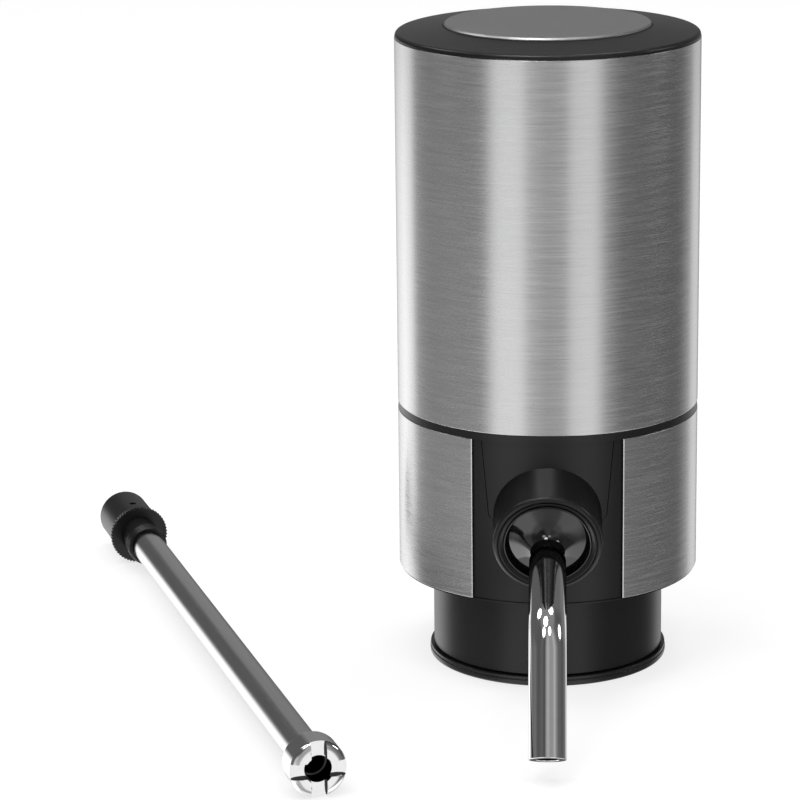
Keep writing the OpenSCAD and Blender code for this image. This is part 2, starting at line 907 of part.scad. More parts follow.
module spout_housing() {
    back_r = housing_ri - fit;
    face_round = 0.9;
    recess_edge = 0.5;
    color([0.14, 0.14, 0.15])
        difference() {
            union() {
                intersection() {
                    ring(housing_r, housing_ri - tongue_back_t / 2, tongue_end_z, z_joint);
                    tongue_prism(0);
                }
                intersection() {
                    ring(back_r, back_r - tongue_back_t, boss_face_z - tongue_back_drop, z_joint);
                    box([-tongue_back_half_w, -body_d, 0], [tongue_back_half_w, 0, z_joint]);
                }
                on_spout_axis()
                    rotate_extrude()
                        polygon([
                            [0, -boss_depth], [boss_r, -boss_depth], [boss_r, -face_round],
                            [boss_r - face_round, 0], [0, 0]
                        ]);
            }
            on_spout_axis() {
                rod(recess_d / 2, -boss_depth + boss_back_t, eps);
                rod(tail_r + run, -boss_depth - 2 * eps, eps);
                translate([0, 0, -recess_edge])
                    cylinder(r1 = recess_d / 2, r2 = recess_d / 2 + 2 * recess_edge, h = 2 * recess_edge);
            }
        }
}

module spout_funnel() {
    flare_steps = 10;
    cup_r = funnel_r - funnel_edge;
    neck_end = spout_start - free;
    // Trumpet flare from the cup's floor up to the neck, a cubic curve guided by these corners
    flare_mid = [6, -5.6];
    neck_low = -4.5;
    neck_start = -0.5;
    corners = [[cup_r, -funnel_floor], flare_mid, [neck_r, neck_low], [neck_r, neck_start]];
    flare = [
        for (i = [0 : flare_steps])
            let (t = i / flare_steps, u = 1 - t)
            pow(u, 3) * corners[0] + 3 * t * u * u * corners[1] + 3 * t * t * u * corners[2] + pow(t, 3) * corners[3]
    ];
    outline = concat(
        [
            [wine_way_r, tail_end - barb_len], [wine_barb_r, tail_end - barb_len], [wine_barb_r, tail_end],
            [tail_r, tail_end], [tail_r, funnel_back], [funnel_r, funnel_back], [funnel_r, -funnel_lip]
        ],
        [[cup_r, -funnel_lip]],
        flare,
        [[neck_r, neck_end], [stem_r, neck_end]],
        [[stem_r, spout_start + stem_grip], [wine_way_r, spout_start + stem_grip]]
    );
    color([0.08, 0.08, 0.08]) on_spout_axis() rotate_extrude() polygon(outline);
}

module spout_bush() {
    color([0.2, 0.2, 0.2])
        on_spout_axis()
            ring(stem_r + bush_wall + run, stem_r + run, spout_start + fit, spout_start + stem_grip - fit);
}

module spout_tube() {
    color("gainsboro")
        on_spout_axis()
            difference() {
                bent_rod(spout_d / 2, spout_start, spout_run, bend_r, bend_angle, spout_leg, 0);
                bent_rod(spout_bore / 2, spout_start, spout_run, bend_r, bend_angle, spout_leg, eps);
                rod(spout_socket_r, spout_start - eps, spout_start + stem_grip);
            }
}

// Inlet, hoses and release valve

module inlet_socket() {
    barb_top = wine_rise_top - free;
    color([0.85, 0.85, 0.82])
        difference() {
            union() {
                rotate_extrude()
                    polygon([
                        [socket_bore_r, neck_depth], [socket_r, neck_depth], [socket_r, ceiling_top],
                        [socket_flange_r, ceiling_top], [socket_flange_r, ceiling_top + socket_flange_t],
                        [socket_r, ceiling_top + socket_flange_t], [socket_r, roof_top], [wine_barb_r, roof_top],
                        [wine_barb_r, barb_top], [wine_way_r, barb_top], [wine_way_r, seat_top],
                        [seat_r, seat_top], [seat_r, bore_top], [socket_bore_r, bore_top]
                    ]);
                for (side = [-1, 1])
                    translate([0, 0, nipple_z]) rotate([0, side * 90, 0]) rod(nipple_r, air_way_at, nipple_end);
            }
            for (side = [-1, 1]) {
                translate([0, 0, nipple_z])
                    rotate([0, side * 90, 0]) rod(nipple_hole_r, air_way_at, nipple_end + eps);
                translate([side * air_way_at, 0, 0]) rod(air_way_r, neck_depth - eps, nipple_z);
            }
        }
}

module inlet_gasket() {
    color([0.75, 0.75, 0.75]) ring(seat_r - run, wine_barb_r, bore_top, seat_top);
}

module wine_hose() {
    color("whitesmoke")
        difference() {
            wine_hose_path(wine_hose_r, 0);
            wine_hose_path(wine_hose_ri, eps);
        }
}

// Solid along the hose's route: up from the socket, over and down the spout's axis
module wine_hose_path(r, past) {
    rod(r, roof_top - past, wine_rise_top + lap);
    translate([0, 0, wine_rise_top]) bend(r, wine_bend_r, wine_turn);
    on_spout_axis() rod(r, wine_run_end - lap, tail_end + past);
}

module air_hose() {
    color("whitesmoke")
        difference() {
            air_hose_path(hose_r, 0);
            air_hose_path(nipple_r + run, eps);
        }
}

// Solid along the hose's route: down from the pump's nozzle, then in to the socket
module air_hose_path(r, past) {
    translate([nozzle_x, 0, 0]) rod(r, nipple_z + hose_bend_r - lap, base_top + past);
    translate([-nipple_end, 0, nipple_z]) rotate([0, -90, 0]) rotate(90) bend(r, hose_bend_r, 90);
    translate([0, 0, nipple_z]) rotate([0, -90, 0]) rod(r, socket_r + fit - past, nipple_end + lap);
}

module vent_hose() {
    color("whitesmoke")
        translate([0, 0, nipple_z]) rotate([0, 90, 0])
            ring(hose_r, nipple_r + run, socket_r + fit, valve_x - fit);
}

module vent_valve() {
    color([0.15, 0.2, 0.35])
        difference() {
            union() {
                box([valve_x, -valve_w / 2, collar_flange_top], [valve_x + valve_w, valve_w / 2, valve_top]);
                translate([0, 0, nipple_z]) rotate([0, 90, 0]) rod(nipple_r, nipple_end + eps, valve_x + eps);
            }
            translate([0, 0, nipple_z]) rotate([0, 90, 0]) rod(nipple_hole_r, nipple_end, valve_bore_x);
            translate([valve_bore_x, 0, 0])
                rod(valve_pin_r + run, valve_top - valve_pin_in - valve_travel - eps, valve_top + eps);
        }
}

module valve_plunger() {
    color("lightgray")
        translate([valve_bore_x, 0, 0]) rod(valve_pin_r, valve_top - valve_pin_in, valve_top + valve_pin_out);
}

// Collar

module collar() {
    r_out = collar_d / 2;
    r_in = r_out - collar_wall;
    groove = 0.45;
    color([0.12, 0.12, 0.13])
        difference() {
            rotate_extrude()
                polygon([
                    [r_in, rim_h], [r_out - groove, rim_h], [r_out, rim_h + groove], [r_out, z_floor],
                    [collar_flange_r, z_floor], [collar_flange_r, collar_flange_top],
                    [r_in, collar_flange_top], [r_in, ceiling_top], [socket_r + fit, ceiling_top],
                    [socket_r + fit, neck_depth], [r_in, neck_depth]
                ]);
            at_collar_screws() rod(small_screw_r + fit, z_floor - eps, collar_flange_top + eps);
            at_posts() rod(post_r + fit, z_floor, collar_flange_top + eps);
        }
}

module collar_screws() {
    color("silver")
        at_collar_screws()
            translate([0, 0, collar_flange_top]) screw(small_screw_r, collar_flange_top - z_skirt - fit);
}

module rim_ring() {
    bevel = 0.4;
    r_in = collar_d / 2 - collar_wall - bevel;
    color([0.2, 0.2, 0.21])
        rotate_extrude()
            polygon([
                [r_in, 0], [rim_d / 2 - bevel, 0], [rim_d / 2, bevel], [rim_d / 2, rim_h - bevel],
                [rim_d / 2 - bevel, rim_h], [r_in, rim_h]
            ]);
}

module bottle_seal() {
    bore_r = neck_d / 2;
    r_out = collar_d / 2 - collar_wall - fit;
    sleeve_t = 2.4;
    lead_in = 1.4;
    mouth_up = 1.8;
    mouth_z = rim_h + mouth_up;
    top_t = 2;
    lip_z = neck_depth - top_t;
    wall_drop = 6;
    color([0.3, 0.3, 0.31])
        rotate_extrude()
            polygon([
                [socket_r + 2 * fit, neck_depth], [socket_r + 2 * fit, lip_z], [bore_r, lip_z],
                [bore_r, mouth_z + lead_in], [bore_r + lead_in, mouth_z], [bore_r + sleeve_t, mouth_z],
                [bore_r + sleeve_t, lip_z], [r_out - sleeve_t, lip_z], [r_out - sleeve_t, lip_z - wall_drop],
                [r_out, lip_z - wall_drop], [r_out, neck_depth]
            ]);
}

// Loose dip tube

module connector_plug() {
    bore_r = 2.6;
    air_hole_r = 0.9;
    air_hole_s = 11.7;
    rim = 0.5;
    color([0.1, 0.1, 0.1])
        on_dip_tube()
            difference() {
                rotate_extrude()
                    polygon([
                        [bore_r, 0], [plug_d / 2 - rim, 0], [plug_d / 2, rim], [plug_d / 2, plug_len],
                        [tube_r + run, plug_len], [tube_r + run, plug_len - tube_in_plug],
                        [bore_r, plug_len - tube_in_plug]
                    ]);
                translate([0, 0, air_hole_s]) rotate([-90, 0, 0]) rod(air_hole_r, 0, plug_d);
            }
}

module connector_flange() {
    ridge_h = 0.15;
    points_a_ridge = 4;
    count = flange_ridges * points_a_ridge;
    outline = [
        for (i = [0 : count - 1])
            let (
                turn = 360 * i / count,
                reach = flange_r - ridge_h + ridge_h * cos(360 * i / points_a_ridge)
            )
            [reach * sin(turn), -reach * cos(turn)]
    ];
    color([0.1, 0.1, 0.1])
        on_dip_tube()
            difference() {
                translate([0, 0, s_flange]) linear_extrude(flange_t) polygon(outline);
                rod(tube_r + run, s_flange - eps, s_neck + eps);
            }
}

module connector_neck() {
    pitch = 1.2;
    rib_h = 0.3;
    out_r = neck_rib_d / 2;
    plain_end = s_show - neck_ribs * pitch;
    ribs = [
        for (i = [0 : neck_ribs - 1], p = [[0.1, 0], [0.4, 1], [0.7, 1], [1, 0]])
            [out_r - rib_h + rib_h * p[1], plain_end + pitch * (i + p[0])]
    ];
    outline = concat(
        [[tube_r + run, s_neck], [out_r - rib_h, s_neck]], ribs,
        [[tube_r + run, s_show]]
    );
    color([0.1, 0.1, 0.1]) on_dip_tube() rotate_extrude() polygon(outline);
}

module outer_tube() {
    color("silver") on_dip_tube() ring(tube_r, tube_ri, plug_len - tube_in_plug, s_foot);
}

module tube_bush() {
    color([0.2, 0.2, 0.2]) on_dip_tube() ring(tube_ri - run, inner_r + run, s_foot - bush_len, s_foot);
}

module inner_tube() {
    color("gainsboro") on_dip_tube() ring(inner_r, inner_ri, inner_start, s_foot + fit + foot_socket);
}

module inner_stop() {
    color([0.2, 0.2, 0.2])
        on_dip_tube() ring(tube_ri - run, inner_r, inner_start, inner_start + stop_len);
}

module tube_foot() {
    back = s_foot + fit;
    back_bevel = 0.5;
    crown_steps = 6;
    crown_s = s_end - foot_slot_h;
    // Rounded crown, a quarter of an ellipse from the slots' floor to the face
    crown = [
        for (i = [0 : crown_steps])
            let (a = 90 * i / crown_steps)
            [foot_r - foot_crown * (1 - cos(a)), crown_s + foot_slot_h * sin(a)]
    ];
    outline = concat(
        [[inner_r, back], [foot_r - back_bevel, back], [foot_r, back + back_bevel]],
        crown,
        [[foot_hole_d / 2, s_end], [foot_hole_d / 2, back + foot_socket], [inner_r, back + foot_socket]]
    );
    color("gainsboro")
        on_dip_tube()
            difference() {
                rotate_extrude() polygon(outline);
                for (turn = [0, 90])
                    rotate(turn)
                        box([-foot_d, -foot_slot_w / 2, crown_s], [foot_d, foot_slot_w / 2, s_end + eps]);
            }
}

upper_sleeve();
top_cap();
button_disc();
button_carrier();
button_spring();
tact_switch();
switch_plunger();
control_board();
board_chips();
board_screws();
chassis();
battery_cell();
battery_pad();
motor_can();
motor_end_cap();
motor_magnets();
motor_armature();
motor_shaft();
pump_crank();
wobble_plate();
pump_body();
pump_diaphragm();
pump_cover();
pump_screws();
frame_screws();
charge_board();
usb_socket();
port_bezel();
deck_plate();
lower_housing();
skirt_wrap();
spout_housing();
spout_funnel();
spout_bush();
spout_tube();
wine_hose();
air_hose();
vent_hose();
vent_valve();
valve_plunger();
inlet_socket();
inlet_gasket();
collar();
collar_screws();
rim_ring();
bottle_seal();
connector_plug();
connector_flange();
connector_neck();
outer_tube();
tube_bush();
inner_tube();
inner_stop();
tube_foot();
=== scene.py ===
"""Looks of the electric wine dispenser: finer visible pieces, finishes, light and camera."""

import json
import math

import bpy
from mathutils import Matrix, Vector


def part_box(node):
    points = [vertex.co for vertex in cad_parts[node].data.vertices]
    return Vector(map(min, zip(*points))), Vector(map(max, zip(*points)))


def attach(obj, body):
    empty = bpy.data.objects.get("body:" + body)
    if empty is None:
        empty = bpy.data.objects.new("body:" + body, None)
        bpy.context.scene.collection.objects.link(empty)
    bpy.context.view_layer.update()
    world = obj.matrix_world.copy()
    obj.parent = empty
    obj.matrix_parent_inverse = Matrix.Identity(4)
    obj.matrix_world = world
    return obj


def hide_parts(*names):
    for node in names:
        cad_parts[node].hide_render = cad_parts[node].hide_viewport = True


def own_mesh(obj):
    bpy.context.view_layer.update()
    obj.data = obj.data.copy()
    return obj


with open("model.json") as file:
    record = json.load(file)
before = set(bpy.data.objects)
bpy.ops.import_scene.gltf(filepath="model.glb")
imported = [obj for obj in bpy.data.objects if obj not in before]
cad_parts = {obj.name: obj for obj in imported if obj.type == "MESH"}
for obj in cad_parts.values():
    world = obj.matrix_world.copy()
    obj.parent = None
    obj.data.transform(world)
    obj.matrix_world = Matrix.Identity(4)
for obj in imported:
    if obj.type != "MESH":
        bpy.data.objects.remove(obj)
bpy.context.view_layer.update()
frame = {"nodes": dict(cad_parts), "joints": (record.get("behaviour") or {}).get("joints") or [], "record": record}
MM = 0.001
scene = bpy.context.scene
joints = {j["name"]: j for j in frame["joints"]}


# Reading the frame

class Axis:
    """A straight line of the object: local z runs along it and local y is its upper side."""

    def __init__(self, origin, along):
        z = Vector(along).normalized()
        upright = abs(z.z) > 0.9
        x = Vector((1, 0, 0)) if upright else Vector((0, 0, 1)).cross(z).normalized()
        self.matrix = Matrix.Translation(origin) @ Matrix((x, z.cross(x), z)).transposed().to_4x4()

    def spots(self, node, low=-1.0, high=1.0):
        """The node's points between two places along the line, in local coordinates."""
        back = self.matrix.inverted()
        local = [back @ v.co for v in frame["nodes"][node].data.vertices]
        return [p for p in local if low <= p.z <= high]

    def ends(self, node):
        stations = [p.z for p in self.spots(node)]
        return min(stations), max(stations)

    def reach(self, node, low=-1.0, high=1.0):
        return max(math.hypot(p.x, p.y) for p in self.spots(node, low, high))

    def bore(self, node, low=-1.0, high=1.0):
        return min(math.hypot(p.x, p.y) for p in self.spots(node, low, high))


def middle(node):
    low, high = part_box(node)
    return (low + high) / 2


body = Axis((0, 0, 0), (0, 0, 1))
spout = Axis(joints["spout_swivel"]["pos_m"], joints["spout_swivel"]["axis"])
dip = Axis(middle("outer_tube"), joints["tube_extend"]["axis"])


# Outlines

def circle(r, steps):
    angles = [2 * math.pi * k / steps for k in range(steps)]
    return [(r * math.cos(a), r * math.sin(a)) for a in angles]


def slot_ring(width, height, steps=16):
    """Round-ended slot, as (x, y) points."""
    ring = []
    for side in (1, -1):
        for k in range(steps + 1):
            a = math.pi * (k / steps - 0.5)
            x = (width - height) / 2 + height / 2 * math.cos(a)
            ring.append((side * x, side * height / 2 * math.sin(a)))
    return ring


def curve(corners, steps):
    """Cubic curve over four corners, as (reach, height) points."""
    a, b, c, d = (Vector(corner) for corner in corners)
    points = []
    for k in range(steps + 1):
        t = k / steps
        spot = a * (1 - t) ** 3 + b * 3 * t * (1 - t) ** 2 + c * 3 * t * t * (1 - t) + d * t ** 3
        points.append((spot.x, spot.y))
    return points


def rounded(points, steps=5):
    """Closed outline from (reach, height, corner radius), counter-clockwise: each point with the
    normals of the stretches before and after it."""
    spots = [Vector(p[:2]) for p in points]
    out = []
    for i, here in enumerate(spots):
        u = (spots[i - 1] - here).normalized()
        v = (spots[(i + 1) % len(spots)] - here).normalized()
        first = math.atan2(u.x, -u.y)
        turn = (math.atan2(-v.x, v.y) - first + math.pi) % (2 * math.pi) - math.pi
        radius = points[i][2] if len(points[i]) > 2 else 0
        if not radius:
            ends = [Vector((math.cos(a), math.sin(a))) for a in (first, first + turn)]
            out.append((here, *ends))
            continue
        half = u.angle(v) / 2
        centre = here + (u + v).normalized() * radius / math.sin(half)
        side = 1 if turn > 0 else -1
        for k in range(steps + 1):
            a = first + turn * k / steps
            n = Vector((math.cos(a), math.sin(a)))
            out.append((centre + n * radius * side, n, n))
    return out


def stretched(outline, step):
    """The outline with its long stretches divided, so that it can follow a bend."""
    out = []
    for i, here in enumerate(outline):
        out.append(here)
        after = outline[(i + 1) % len(outline)]
        parts = math.ceil((after[0] - here[0]).length / step)
        out += [(here[0].lerp(after[0], k / parts), here[2], here[2]) for k in range(1, parts)]
    return out


def eased(outline, degrees):
    """The outline with one even normal at each corner that turns by less than a limit."""
    out = []
    for spot, arrive, leave in outline:
        if arrive.angle(leave) < math.radians(degrees):
            arrive = leave = (arrive + leave).normalized()
        out.append((spot, arrive, leave))
    return out


# Meshes

def add_object(name, data):
    obj = bpy.data.objects.new(name, data)
    scene.collection.objects.link(obj)
    return obj


def add_mesh(name, verts, faces):
    mesh = bpy.data.meshes.new(name)
    mesh.from_pydata([tuple(v) for v in verts], [], faces)
    return add_object(name, mesh)


def build(name, axis, verts, faces, normals=None):
    """Piece in the local coordinates of an axis, smooth where it has normals."""
    obj = add_mesh(name, verts, faces)
    obj.matrix_world = axis.matrix
    if normals:
        obj.data.shade_smooth()
        obj.data.normals_split_custom_set([tuple(n) for n in normals])
    return obj


def quads(rows, count, turned_over=False, closed=False):
    """Faces between rows of points, where each row is a ring of count points."""
    faces = []
    for row in range(rows if closed else rows - 1):
        a = row * count
        b = (row + 1) % rows * count
        for k in range(count):
            m = (k + 1) % count
            faces.append([a + k, b + k, b + m, a + m] if turned_over else [a + k, a + m, b + m, b + k])
    return faces


def straight(height):
    """Middle and directions of a straight piece at a height: local x, y and z."""
    return Vector((0, 0, height)), Vector((1, 0, 0)), Vector((0, 1, 0)), Vector((0, 0, 1))


# Points this near the axis, or a round wall, lie on it
ON_AXIS = 1e-9
ON_WALL = 0.01 * MM


def turned(name, axis, outline, segments=144, path=straight):
    """Solid of revolution of an outline round an axis, or along a path."""
    verts, rows, faces, normals = [], [], [], []
    angles = [2 * math.pi * j / segments for j in range(segments)]
    for spot, _, _ in outline:
        centre, x, y, _ = path(spot.y)
        if spot.x < ON_AXIS:
            rows.append([len(verts)] * segments)
            verts.append(centre)
            continue
        rows.append(list(range(len(verts), len(verts) + segments)))
        verts += [centre + (x * math.cos(a) + y * math.sin(a)) * spot.x for a in angles]

    def normal(n, height, a):
        _, x, y, z = path(height)
        return ((x * math.cos(a) + y * math.sin(a)) * n.x + z * n.y).normalized()

    for i, (spot, _, leave) in enumerate(outline):
        k = (i + 1) % len(outline)
        after, arrive, _ = outline[k]
        if spot.x < ON_AXIS and after.x < ON_AXIS:
            continue
        for j in range(segments):
            m = (j + 1) % segments
            corners = [
                (rows[i][j], leave, spot.y, angles[j]), (rows[i][m], leave, spot.y, angles[m]),
                (rows[k][m], arrive, after.y, angles[m]), (rows[k][j], arrive, after.y, angles[j]),
            ]
            if corners[0][0] == corners[1][0]:
                corners.pop(0)
            elif corners[2][0] == corners[3][0]:
                corners.pop(3)
            faces.append([c[0] for c in corners])
            normals += [normal(*c[1:]) for c in corners]
    return build(name, axis, verts, faces, normals)


def prism(name, axis, ring, low, high):
    """Straight solid over a ring of local (x, y) points."""
    count = len(ring)
    verts = [(x, y, s) for s in (low, high) for x, y in ring]
    ends = [list(range(count - 1, -1, -1)), list(range(count, 2 * count))]
    return build(name, axis, verts, quads(2, count) + ends)


def cut(obj, cutter):
    """Takes the cutter out of the piece."""
    step = obj.modifiers.new("cut", "BOOLEAN")
    step.solver = "EXACT"
    step.object = cutter
    bpy.context.view_layer.update()
    mesh = bpy.data.meshes.new_from_object(obj.evaluated_get(bpy.context.evaluated_depsgraph_get()))
    obj.modifiers.clear()
    obj.data = mesh
    bpy.data.objects.remove(cutter)


def smooth(mesh, sharp):
    """Smooth shading, with sharp edges from an angle in degrees."""
    mesh.shade_smooth()
    mesh.set_sharp_from_angle(angle=math.radians(sharp))


def true_round(obj, walls, sharp=35):
    """Smooth shading with sharp edges, and exact normals on walls of the given radii about local z."""
    mesh = obj.data
    smooth(mesh, sharp)
    normals = [Vector(n.vector) for n in mesh.corner_normals]
    steepest = 0.1
    for face in mesh.polygons:
        reaches = [mesh.vertices[i].co.to_2d().length for i in face.vertices]
        on_wall = any(all(abs(r - wall) < ON_WALL for r in reaches) for wall in walls)
        if abs(face.normal.z) > steepest or not on_wall:
            continue
        for loop, vertex in zip(face.loop_indices, face.vertices):
            flat = mesh.vertices[vertex].co.to_2d().normalized().to_3d()
            normals[loop] = flat if flat.dot(face.normal) > 0 else -flat
    mesh.normals_split_custom_set([tuple(n) for n in normals])


# Finishes

def shader(name):
    mat = bpy.data.materials.new(name)
    mat.use_nodes = True
    tree = mat.node_tree
    return mat, tree, tree.nodes["Principled BSDF"]


def add_node(tree, kind, inputs=None, **settings):
    """New shader node. Each input, by name or number, is a value to set or a socket to link."""
    made = tree.nodes.new("ShaderNode" + kind)
    for key, value in settings.items():
        setattr(made, key, value)
    for key, value in (inputs or {}).items():
        if isinstance(value, bpy.types.NodeSocket):
            tree.links.new(value, made.inputs[key])
        else:
            made.inputs[key].default_value = value
    return made


def noise(tree, scale):
    """Noise over the piece's own coordinates; scale is in waves per metre along x, y and z."""
    place = add_node(tree, "TexCoord")
    grid = add_node(tree, "Mapping", {"Vector": place.outputs["Object"], "Scale": scale})
    wave = add_node(tree, "TexNoise", {
        "Vector": grid.outputs["Vector"], "Scale": 1, "Detail": 3.0, "Roughness": 0.55,
    })
    return wave.outputs["Fac"]


# Part of the noise's range over which a finish changes
SPREAD = (0.3, 0.7)


def colour_ramp(tree, source, low, high):
    band = add_node(tree, "ValToRGB", {"Fac": source})
    for stop, at, colour in zip(band.color_ramp.elements, SPREAD, (low, high)):
        stop.position = at
        stop.color = (*colour, 1)
    return band.outputs["Color"]


def number_ramp(tree, source, low, high):
    band = add_node(tree, "MapRange", {
        "Value": source, "From Min": SPREAD[0], "From Max": SPREAD[1], "To Min": low, "To Max": high,
    })
    return band.outputs["Result"]


def triple(value):
    return value if isinstance(value, tuple) else (value,) * 3


def finish(name, tint, rough, wave, metal=0.0, vary=0.08, rough_vary=0.05, bump=0.0, **sockets):
    """Procedural finish: the tint, the roughness and the surface vary with one grain."""
    mat, tree, bsdf = shader(name)
    grain = noise(tree, triple(wave))
    low, high = (tuple(c * (1 + side * vary) for c in triple(tint)) for side in (-1, 1))
    tree.links.new(colour_ramp(tree, grain, low, high), bsdf.inputs["Base Color"])
    roughness = number_ramp(tree, grain, rough - rough_vary, rough + rough_vary)
    tree.links.new(roughness, bsdf.inputs["Roughness"])
    bsdf.inputs["Metallic"].default_value = metal
    for key, value in sockets.items():
        bsdf.inputs[key.replace("_", " ")].default_value = value
    if bump:
        relief = add_node(tree, "Bump", {"Height": grain, "Strength": 1, "Distance": bump})
        tree.links.new(relief.outputs["Normal"], bsdf.inputs["Normal"])
    return mat


def brush_round(mat):
    """Turns a finish's streaks round the body's axis, so that the gloss spreads up and down."""
    tree = mat.node_tree
    along = add_node(tree, "Tangent", direction_type="RADIAL", axis="Z")
    tree.links.new(along.outputs["Tangent"], tree.nodes["Principled BSDF"].inputs["Tangent"])


LOOKS = {
    "brushed_steel": dict(tint=0.62, rough=0.27, wave=(95, 95, 4200), metal=1, vary=0.13, rough_vary=0.06,
                          bump=0.003 * MM, Anisotropic=0.75, Anisotropic_Rotation=0.25),
    "satin_steel": dict(tint=0.66, rough=0.2, wave=(2500, 2500, 60), metal=1, vary=0.04, rough_vary=0.04),
    "chrome": dict(tint=0.78, rough=0.06, wave=(700, 700, 300), metal=1, vary=0.02, rough_vary=0.02),
    "grey_metal": dict(tint=0.42, rough=0.42, wave=2600, metal=1, vary=0.05),
    "black_plastic": dict(tint=0.009, rough=0.33, wave=5000, vary=0.15, bump=0.002 * MM,
                          Specular_IOR_Level=0.4),
    "gloss_black": dict(tint=0.005, rough=0.07, wave=400, vary=0.1, rough_vary=0.02, IOR=1.72),
    "dark_rim": dict(tint=0.012, rough=0.3, wave=4000, vary=0.15, bump=0.002 * MM),
    "grey_silicone": dict(tint=0.075, rough=0.55, wave=1500),
    "clear_hose": dict(tint=(0.72, 0.74, 0.74), rough=0.3, wave=500, vary=0.04),
    "inner_plastic": dict(tint=0.045, rough=0.5, wave=3000, vary=0.1),
    "white_plastic": dict(tint=(0.72, 0.71, 0.67), rough=0.45, wave=2500, vary=0.04),
    "green_board": dict(tint=(0.015, 0.13, 0.045), rough=0.4, wave=900, vary=0.25, rough_vary=0.06),
    "chip_black": dict(tint=0.02, rough=0.5, wave=4000, vary=0.15),
    "zinc_steel": dict(tint=(0.6, 0.6, 0.62), rough=0.3, wave=1500, metal=1, rough_vary=0.06),
    "spring_steel": dict(tint=0.5, rough=0.28, wave=1800, metal=1, rough_vary=0.06),
    "magnet": dict(tint=(0.09, 0.09, 0.1), rough=0.5, wave=2500, metal=0.3, vary=0.1, rough_vary=0.06),
    "copper_winding": dict(tint=(0.62, 0.27, 0.11), rough=0.33, wave=(300, 300, 4000), metal=1, vary=0.2,
                           rough_vary=0.08),
    "cell_wrap": dict(tint=(0.03, 0.24, 0.13), rough=0.3, wave=600, vary=0.06),
    "foam": dict(tint=0.04, rough=0.85, wave=2500, vary=0.35, bump=0.05 * MM),
    "red_rubber": dict(tint=(0.3, 0.035, 0.025), rough=0.6, wave=1800, vary=0.1),
    "blue_plastic": dict(tint=(0.03, 0.06, 0.2), rough=0.45, wave=2500),
}
finishes = {name: finish(name, **look) for name, look in LOOKS.items()}
brush_round(finishes["brushed_steel"])


def dress(obj, slot):
    obj.data.materials.clear()
    obj.data.materials.append(finishes[slot])


def place(obj, slot, carrier, *nodes):
    """Gives a piece its finish and its body, and lets it stand for CAD nodes."""
    dress(obj, slot)
    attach(obj, carrier)
    if nodes:
        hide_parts(*nodes)


for item in frame["record"]["subparts"]:
    dress(frame["nodes"][item["node"]], item["material_slot"])


# Sizes that several pieces share

radius = body.reach("upper_sleeve")
z_sleeve, z_cap = body.ends("upper_sleeve")
z_skirt, z_joint = body.ends("skirt_wrap")
cap_hole = body.bore("top_cap")
boss_r = spout.reach("spout_housing", -1 * MM, 0)
funnel_r = spout.reach("spout_funnel")
neck_in = dip.bore("connector_neck")
EDGE = 0.25 * MM
SMALL_EDGE = 0.12 * MM
FINE_EDGE = 0.1 * MM
BOSS_DEPTH = 16 * MM
BOSS_FLOOR = 2 * MM
boss_floor_z = -BOSS_DEPTH + BOSS_FLOOR


# Body of the dispenser

def make_sleeve():
    """Steel sleeve, with a slot at the back for the charging port."""
    top_edge = 0.08 * MM
    port_lap = 1.4 * MM
    port_fit = 0.1 * MM
    cut_past = 1.1
    inside = body.bore("upper_sleeve")
    sleeve = turned("sleeve", body, rounded([
        (inside, z_sleeve), (radius, z_sleeve, EDGE), (radius, z_cap, top_edge), (inside, z_cap),
    ]), segments=288)
    low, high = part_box("port_bezel")
    width = high.x - low.x - 2 * port_lap + 2 * port_fit
    height = high.z - low.z - 2 * port_lap + 2 * port_fit
    back = Axis((0, 0, (low.z + high.z) / 2), (0, 1, 0))
    cut(sleeve, prism("port_cutter", back, slot_ring(width, height), inside / 2, radius * cut_past))
    true_round(sleeve, (radius, inside))
    place(sleeve, "brushed_steel", "dispenser", "upper_sleeve")


def make_cap():
    """Black ring over the sleeve, a shallow cone with a spigot below."""
    shoulder_edge = 0.95 * MM
    floor = 1 * MM
    cap_r = body.reach("top_cap")
    low, crown = body.ends("top_cap")
    spigot_r = body.reach("top_cap", low, low + EDGE)
    spigot_in = body.bore("top_cap", low, low + EDGE)
    outer_wall = [p.z for p in body.spots("top_cap") if math.hypot(p.x, p.y) > cap_r - ON_WALL]
    shoulder = max(outer_wall) + EDGE
    cap = turned("cap", body, rounded([
        (cap_hole, z_cap - floor), (spigot_in, z_cap - floor), (spigot_in, low), (spigot_r, low),
        (spigot_r, z_cap), (cap_r, z_cap, FINE_EDGE), (cap_r, shoulder, shoulder_edge),
        (cap_hole, crown, SMALL_EDGE),
    ]), segments=288)
    place(cap, "black_plastic", "dispenser", "top_cap")


def make_disc():
    """Metal disc of the button, with a chamfered lip."""
    gap = 0.14 * MM
    lip = 0.42 * MM
    disc_r = cap_hole - gap
    low, top = body.ends("button_disc")
    disc = turned("disc", body, rounded([
        (0, low), (disc_r, low, FINE_EDGE), (disc_r, top - lip, SMALL_EDGE),
        (disc_r - lip, top, FINE_EDGE), (0, top),
    ]), segments=288)
    place(disc, "grey_metal", "button", "button_disc")


def make_spring():
    """The CAD spring under the button, copied with a mesh of its own; the real spring shortens as the button is
    pressed.
    """
    spring = frame["nodes"]["button_spring"].copy()
    spring.name = "spring"
    spring.parent = None
    spring.data = spring.data.copy()
    scene.collection.objects.link(spring)
    place(spring, "spring_steel", "dispenser", "button_spring")
    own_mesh(spring)


